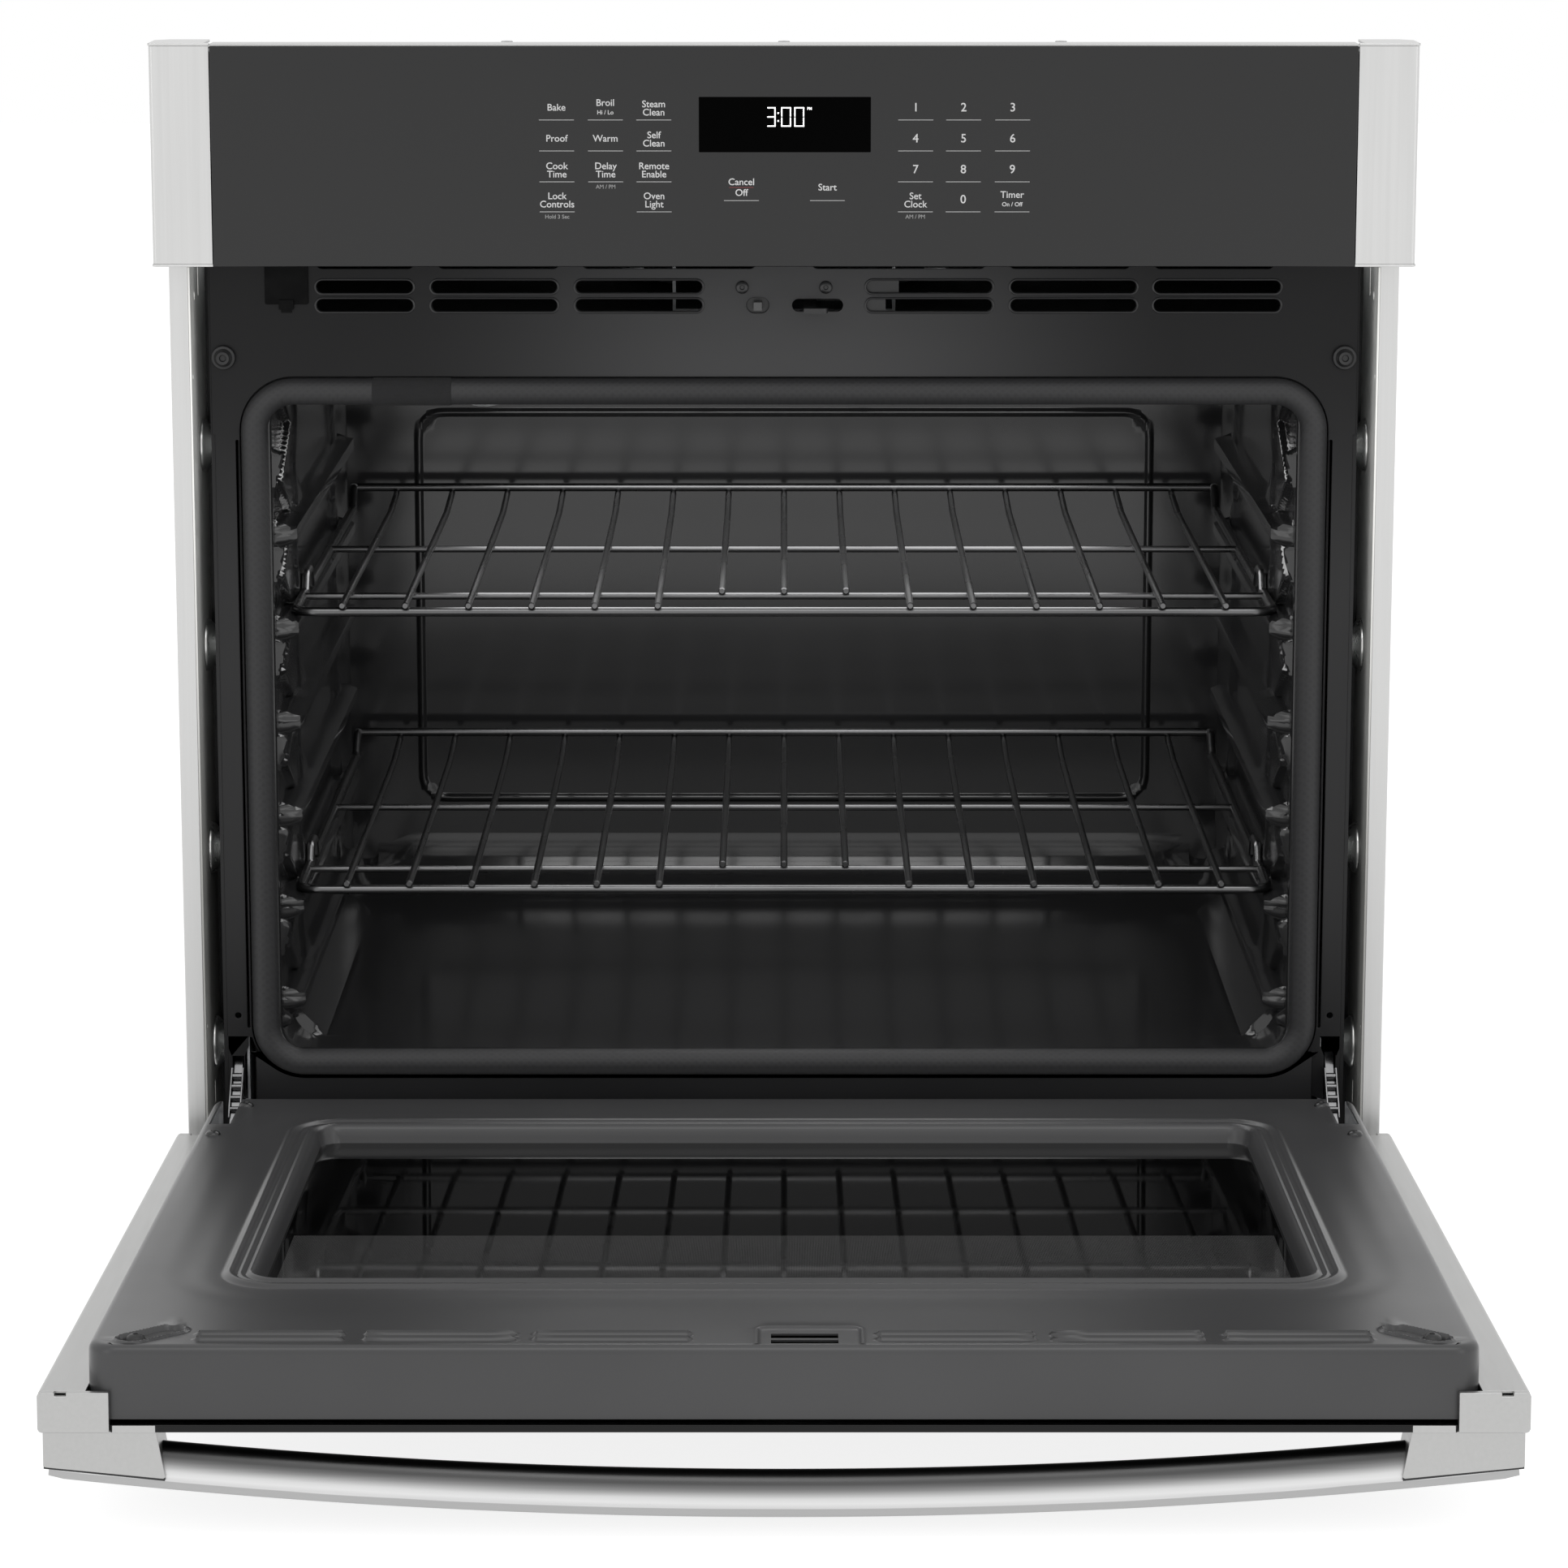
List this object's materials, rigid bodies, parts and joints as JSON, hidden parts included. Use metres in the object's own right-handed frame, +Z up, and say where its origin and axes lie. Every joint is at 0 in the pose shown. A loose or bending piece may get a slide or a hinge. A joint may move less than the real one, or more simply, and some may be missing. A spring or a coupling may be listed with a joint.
{
  "type": "built-in wall oven",
  "caption": "Built-in electric wall oven with a drop-down glass door, bowed bar handle, glass control panel, sliding wire racks and a cooling blower.",
  "frame": {"origin": "mid-width, in the cabinet face plane, at the level of the base pan's underside", "axes": "+Z up, -Y towards the user (the door opens that way), +X to the right seen from the front"},
  "size_m": [0.756, 1.1857, 0.727],
  "materials": {
    "black_enamel": "semi-gloss porcelain enamel",
    "woven_seal": "woven glass fibre, matt",
    "mineral_wool": "matt fibre",
    "galvanised": "galvanised sheet",
    "stainless": "fine satin",
    "control_glass": "grey-black back-printed glass, satin",
    "display_black": "gloss black",
    "circuit_board": "solder mask",
    "black_plastic": "moulded",
    "black_rubber": "matt",
    "hinge_steel": "bright stamped steel",
    "dark_screw": "black oxide",
    "cast_motor": "as cast",
    "element_sheath": "heat-darkened sheath",
    "plated_steel": "plated",
    "porcelain": "unglazed",
    "bulb_glass": "clear",
    "lens_glass": "clear moulded",
    "window_glass": "dark clear",
    "door_glass": "black printed glass",
    "rack_wire": "polished wire",
    "white_plastic": "moulded"
  },
  "bodies": {
    "oven_body": {"cavity_shell": "black_enamel", "rack_guides": "black_enamel", "front_frame": "black_enamel", "door_gasket": "woven_seal", "gasket_sleeve": "woven_seal", "insulation": "mineral_wool", "body_wrap": "galvanised", "chassis_back": "galvanised", "base_pan": "galvanised", "side_trim_left": "stainless", "side_trim_right": "stainless", "side_rail_left": "galvanised", "side_rail_right": "galvanised", "bottom_trim": "black_enamel", "control_housing": "galvanised", "control_glass": "control_glass", "panel_cap_left": "stainless", "panel_cap_right": "stainless", "panel_top_strip": "stainless", "display_module": "display_black", "control_board": "circuit_board", "latch_motor": "galvanised", "door_switch": "black_plastic", "hinge_receiver_left": "galvanised", "hinge_receiver_right": "galvanised", "hinge_arm_left": "hinge_steel", "hinge_arm_right": "hinge_steel", "frame_bumpers": "black_rubber", "frame_screws": "dark_screw", "blower_housing": "galvanised", "blower_motor": "cast_motor", "bake_element": "element_sheath", "broil_element": "element_sheath", "temperature_sensor": "plated_steel", "lamp_socket": "porcelain", "lamp_bulb": "bulb_glass", "lamp_lens": "lens_glass", "junction_box": "galvanised", "conduit_fitting": "plated_steel"},
    "door": {"door_liner": "black_enamel", "window_frame": "galvanised", "inner_glass": "window_glass", "middle_glass": "window_glass", "outer_glass": "door_glass", "door_insulation": "mineral_wool", "door_trim_left": "stainless", "door_trim_right": "stainless", "door_end_caps": "stainless", "hinge_channel_left": "galvanised", "hinge_channel_right": "galvanised", "door_plugs": "black_rubber", "door_screws": "dark_screw", "handle_bar": "stainless", "handle_mount_left": "stainless", "handle_mount_right": "stainless"},
    "upper_rack": {"rack_upper": "rack_wire"},
    "lower_rack": {"rack_lower": "rack_wire"},
    "latch": {"latch_hook": "hinge_steel"},
    "plunger": {"switch_plunger": "white_plastic"},
    "blower": {"blower_rotor": "cast_motor"}
  },
  "joints": [
    {"name": "door_hinge", "type": "hinge", "parent": "oven_body", "child": "door", "pos_m": [0, -0.033, 0.039], "axis": [1, 0, 0], "range_deg": [-87, 0]},
    {"name": "upper_rack_slide", "type": "slide", "parent": "oven_body", "child": "upper_rack", "axis": [0, -1, 0], "range_m": [0, 0.3]},
    {"name": "lower_rack_slide", "type": "slide", "parent": "oven_body", "child": "lower_rack", "axis": [0, -1, 0], "range_m": [0, 0.3]},
    {"name": "latch_slide", "type": "slide", "parent": "oven_body", "child": "latch", "axis": [1, 0, 0], "range_m": [0, 0.009]},
    {"name": "switch_plunger_press", "type": "slide", "parent": "oven_body", "child": "plunger", "axis": [0, 1, 0], "range_m": [0, 0.006], "stiffness_N_per_m": 150},
    {"name": "blower_spin", "type": "hinge", "parent": "oven_body", "child": "blower", "pos_m": [0, 0.33, 0.6], "axis": [0, 0, 1], "continuous": true}
  ]
}
